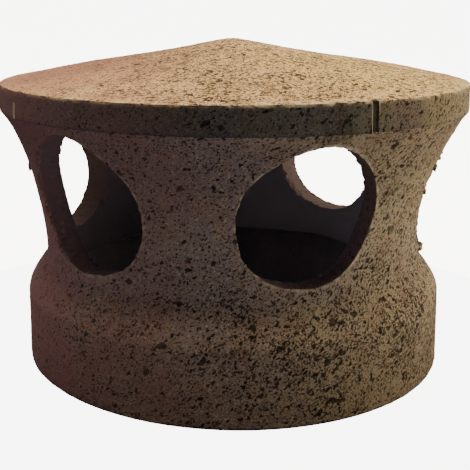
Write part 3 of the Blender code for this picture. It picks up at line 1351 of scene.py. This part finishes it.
        # Painted light on the cut faces of the far half of the cap
        back = self.add("MapRange", self.back.settings(), {0: self.y})
        far_cut_light = self.add("Math", TIMES, {0: on[Zone.CUT], 1: back})
        coats = [
            (unflushed, self.ash, Coat.COVER),
            (self.side(*self.buff_side), self.buff, Coat.COVER),
            # The roof's coat: its own paler buff and painted light from above
            (on[Zone.ROOF], self.roof_buff_and_top_light, Coat.COVER),
            (self.patches(), self.red_patch, Coat.COVER),
            *((self.flash(flash), flash.tint, flash.coat) for flash in self.flashes),
            (pale, self.pale_grain_and_fin_highlight, Coat.COVER),
            *((mask, specks.tint, Coat.COVER) for mask, specks in zip(masks, self.specks)),
            (haze, self.flush, Coat.COVER),
            # Painted shade under the rim
            (self.eaves_shade(), self.eaves_shade_tint, Coat.STAIN),
            # The band's soot, with painted shade at the front
            (self.band_darkening(), self.band_soot_and_shade, Coat.STAIN),
            (edge_wear_and_highlight, self.wear_and_highlight_cream, Coat.COVER),
            # Painted shade in the grooves
            (on[Zone.GROOVE], self.groove_shade, Coat.COVER),
            # Painted highlight on the mould fins that stand proud, as if they catch the light
            (on[Zone.FIN], self.pale_grain_and_fin_highlight, Coat.COVER),
            # Painted shade over the inside of the hollow
            (on[Zone.INSIDE], self.inside_shade_grey, Coat.COVER),
            # Painted light on parts of the inside
            (self.inside_light_share(on[Zone.INSIDE]), self.inside_light_pale, Coat.COVER),
            (on[Zone.CUT], self.cut_red, Coat.COVER),
            # Painted light on the far cut faces
            (far_cut_light, self.far_cut_light_tan, Coat.COVER),
        ]
        shader = self.tree.nodes["Principled BSDF"]
        under = None
        for share, tint, coat in coats:
            settings = {"data_type": "RGBA", "blend_type": coat.value, 6: linear(self.flush), 7: linear(tint)}
            links = {0: share} if under is None else {0: share, 6: under}
            under = self.add("Mix", settings, links).outputs[2]
        self.tree.links.new(under, shader.inputs["Base Color"])
        grit = self.add("TexNoise", {"Scale": 1 / self.grit_size, "Detail": 1.0}, {0: self.place})
        pits = {"operation": "MULTIPLY_ADD", 1: self.pit_depth}
        pitted = self.add("Math", pits, {0: masks[0], 2: grit})
        relief = {"Strength": self.relief_strength, "Distance": self.relief_depth}
        bump = self.add("Bump", relief, {"Height": pitted})
        self.tree.links.new(bump.outputs["Normal"], shader.inputs["Normal"])
        shader.inputs["Roughness"].default_value = self.roughness
        shader.inputs["Specular IOR Level"].default_value = self.gloss
        return self.material


@dataclass(frozen=True)
class Glow:
    """A soft patch of light in the studio's air: the way it comes from, its focus, strength and tint."""

    azimuth: float
    elevation: float
    focus: float
    strength: float
    tint: str


@dataclass(frozen=True)
class StudioFinish:
    """An even finish of something in the studio: its name, colour, roughness and gloss."""

    name: str
    tint: str
    roughness: float
    gloss: float

    def lay(self, piece: bpy.types.Object) -> bpy.types.Node:
        """Lay the finish on a piece.

        Args:
            piece: what it goes on.

        Returns:
            The material's shader.
        """
        material = bpy.data.materials.new(self.name)
        material.use_nodes = True
        shader = material.node_tree.nodes["Principled BSDF"]
        shader.inputs["Base Color"].default_value = linear(self.tint)
        shader.inputs["Roughness"].default_value = self.roughness
        shader.inputs["Specular IOR Level"].default_value = self.gloss
        piece.data.materials.append(material)
        return shader


@dataclass
class Studio:
    """The pale floor and its sweep, the soft lights and the camera."""

    # Matt white paper: an even white with no sheen, lit from within so that nothing shades it
    paper: StudioFinish = StudioFinish("matt_white_paper", "#f6f5f3", 0.9, 0.1)
    # Dark grey felt: it throws almost no light back up at the cap's foot
    felt: StudioFinish = StudioFinish("dark_grey_felt", "#5c5c62", 1.0, 0.0)
    floor_glow: float = 8.0
    floor_drop: float = 0.4 * MM
    sweep_radius: float = 3.0
    sweep_lift: float = 0.86
    mat_radius: float = 160.0 * MM
    mat_drop: float = 0.2 * MM
    lens: float = 67.37
    camera_height: float = 153.4 * MM
    camera_distance: float = 385.3 * MM
    look_down: float = 8.590
    look_left: float = 2.711
    lean: float = 0.198
    shift_right: float = 0.0947
    shift_up: float = -0.2223
    glows: tuple[Glow, ...] = (
        Glow(125, 5, 6, 2.1, "#ffecd6"),
        Glow(70, -20, 6, 1.3, "#fffbee"),
        Glow(262, 0, 6, 0.52, "#f8f8ff"),
        Glow(180, 60, 8, 1.65, "#fff5dc"),
        Glow(0, -35, 4, 0.14, "#ffffff"),
        Glow(125, -20, 6, 0.6, "#ffecca"),
        Glow(300, -20, 6, 0.2, "#ffe2ca"),
    )
    softbox_place: tuple[float, float, float] = (0.05, 0.0, 1.2)
    softbox_size: float = 0.8
    softbox_watts: float = 16.0
    softbox_tint: str = "#ffe5b6"

    def camera(self) -> None:
        """Set the camera at the height and distance that the cap is seen from."""
        lens = bpy.data.cameras.new("camera")
        lens.lens = self.lens
        lens.sensor_width = 36.0
        lens.shift_x = self.shift_right
        lens.shift_y = self.shift_up
        lens.clip_start = 0.01
        camera = bpy.data.objects.new("camera", lens)
        aim = Matrix.Rotation(math.radians(self.look_left), 4, "Z")
        aim @= Matrix.Rotation(math.radians(90 - self.look_down), 4, "X")
        aim @= Matrix.Rotation(math.radians(-self.lean), 4, "Z")
        camera.matrix_world = Matrix.Translation((0.0, -self.camera_distance, self.camera_height)) @ aim
        bpy.context.scene.collection.objects.link(camera)
        bpy.context.scene.camera = camera

    def floor(self) -> None:
        """Lay a round pale floor whose edge sweeps up into a dome, so that no edge of it shows."""
        bpy.ops.object.select_all(action="DESELECT")
        bpy.ops.mesh.primitive_uv_sphere_add(segments=96, ring_count=48, radius=self.sweep_radius)
        sweep = bpy.context.object
        sweep.name = sweep.data.name = "floor_sweep"
        for vertex in sweep.data.vertices:
            vertex.co.z = max(vertex.co.z + self.sweep_lift * self.sweep_radius, -self.floor_drop)
        shader = self.paper.lay(sweep)
        shader.inputs["Emission Color"].default_value = linear(self.paper.tint)
        shader.inputs["Emission Strength"].default_value = self.floor_glow
        sweep.data.materials[0].cycles.emission_sampling = "NONE"
        sweep.data.shade_smooth()
        sweep.visible_diffuse = False
        sweep.visible_glossy = False
        sweep.visible_shadow = False

    def mat(self) -> None:
        """Lay a round dark felt mat under the cap, for its contact shadow alone."""
        bpy.ops.object.select_all(action="DESELECT")
        bpy.ops.mesh.primitive_circle_add(
            vertices=96, radius=self.mat_radius, fill_type="NGON", location=(0.0, 0.0, 0.0)
        )
        mat = bpy.context.object
        mat.name = mat.data.name = "shadow_mat"
        for vertex in mat.data.vertices:
            vertex.co.z = -self.mat_drop
        self.felt.lay(mat)
        mat.visible_camera = False

    def softbox(self) -> None:
        """Hang a large square soft light overhead that faces the cap."""
        lamp = bpy.data.lights.new("overhead", "AREA")
        lamp.shape = "SQUARE"
        lamp.size = self.softbox_size
        lamp.energy = self.softbox_watts
        lamp.color = linear(self.softbox_tint)[:3]
        light = bpy.data.objects.new(lamp.name, lamp)
        light.location = self.softbox_place
        light.rotation_euler = (-Vector(self.softbox_place)).to_track_quat("-Z", "Y").to_euler()
        bpy.context.scene.collection.objects.link(light)

    def air(self) -> None:
        """Fill the studio with the soft light that its walls and floor throw back."""
        world = bpy.data.worlds.new("studio_air")
        world.use_nodes = True
        tree = world.node_tree
        towards = add_node(tree, "TexCoord").outputs["Generated"]
        total = None
        for glow in self.glows:
            aim = tuple(bearing(glow.azimuth, glow.elevation))
            facing = add_node(tree, "VectorMath", {"operation": "DOT_PRODUCT", 1: aim}, {0: towards})
            lit = add_node(tree, "Math", {"operation": "MAXIMUM", 1: 0.0}, {0: facing.outputs["Value"]})
            focused = add_node(tree, "Math", {"operation": "POWER", 1: glow.focus}, {0: lit})
            tint = [glow.strength * share for share in linear(glow.tint)[:3]]
            light = add_node(tree, "VectorMath", {"operation": "SCALE", 0: tint}, {"Scale": focused})
            sum_of = {0: light} if total is None else {0: total, 1: light}
            total = add_node(tree, "VectorMath", {"operation": "ADD"}, sum_of)
        tree.links.new(total.outputs[0], tree.nodes["Background"].inputs["Color"])
        bpy.context.scene.world = world

    def build(self) -> None:
        """Set up the floor, the lights and the camera."""
        self.floor()
        self.mat()
        self.softbox()
        self.air()
        self.camera()
        LOG.info("studio: floor, light and camera")


def swells(*waves: tuple[int, float, float]) -> tuple[Swell, ...]:
    """Swells from their number of crests, their height in millimetres and where a crest stands."""
    return tuple(Swell(crests, height * MM, crest_at) for crests, height, crest_at in waves)


def burrs(*places: Point) -> tuple[Burr, ...]:
    """Burrs from their place round the window in degrees and their size in millimetres."""
    return tuple(Burr(clock, size * MM) for clock, size in places)


def six_windows() -> tuple[Window, ...]:
    """The six windows in order round the cap from the front right.

    Returns:
        The windows, each with its larger burrs and tears.
    """
    middle = 75.6 * MM
    usual = 27.9 * MM
    teeth = (Burr(clock, (0.6 + 0.35 * (clock % 4)) * MM, 0.3 * MM) for clock in range(125, 240, 7))
    return (
        Window(
            19.2, 27.36 * MM, 75.7 * MM, swells((2, 0.44, 54), (3, 0.23, -53), (5, 0.29, 12)),
            burrs((216, 0.6)), burrs((185, 0.9), (190, 1.1), (195, 0.8), (12, 1.0)),
        ),
        Window(
            80.0, usual, middle, swells((2, 0.4, 20), (3, 0.3, 10)),
            burrs(
                (148, 0.8), (156, 1.3), (176, 1.0), (205, 0.7),
                (248, 1.1), (255, 1.4), (262, 1.6), (268, 2.1),
            ),
        ),
        Window(
            138.0, 28.1 * MM, middle, swells((2, 0.4, 130), (5, 0.2, 30)), (),
            burrs((332, 1.5), (325, 1.2), (316, 1.6), (305, 1.2)),
        ),
        Window(199.3, usual, middle, swells((2, 0.3, 70), (3, 0.4, 50))),
        Window(
            257.2, usual, middle, swells((2, 0.6, 38), (4, 0.2, 15)), (Burr(10, 1.2 * MM, 11.9 * MM),)
        ),
        Window(
            318.8, 28.37 * MM, middle, swells((2, 0.65, 29), (3, 0.56, -41), (4, 0.43, -11), (5, 0.46, 23)),
            tuple(teeth), burrs((243, 1.6), (248, 1.9), (254, 1.4), (130, 1.3), (118, 1.1)),
        ),
    )


def build_cap() -> bpy.types.Object:
    """Model and dress the cap.

    Returns:
        The finished piece, which stands for the solid of the frame.
    """
    low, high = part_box("vent_cap")
    wall = TurnedBody(rim_radius=(high[0] - low[0]) / 2, peak_z=high[2] + 0.1 * MM)
    windows = HandCutWindows(wall, six_windows())
    seams = MouldSeams(wall)
    surface = FiredSurface(wall, windows, seams)
    cap = wall.build()
    LOG.info("turned body: %d triangles", triangles(cap))
    windows.cut(cap)
    LOG.info("six windows, lips and crumbs: %d triangles", triangles(cap))
    seams.press(cap)
    LOG.info("mould seams: %d triangles", triangles(cap))
    surface.roughen(cap)
    surface.thin(cap)
    surface.mend(cap)
    surface.mark_zones(cap)
    cap.data.materials.clear()
    cap.data.materials.append(StonewareClay().dress())
    make_active(cap)
    bpy.ops.object.shade_smooth_by_angle(angle=math.radians(50))
    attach(cap, "root")
    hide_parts("vent_cap")
    LOG.info("fired clay cap: %d triangles", triangles(cap))
    return cap


def main() -> None:
    """Build the cap and its studio."""
    logging.basicConfig(level=logging.INFO, format="%(name)s: %(message)s")
    build_cap()
    Studio().build()


if __name__ == "__main__":
    main()
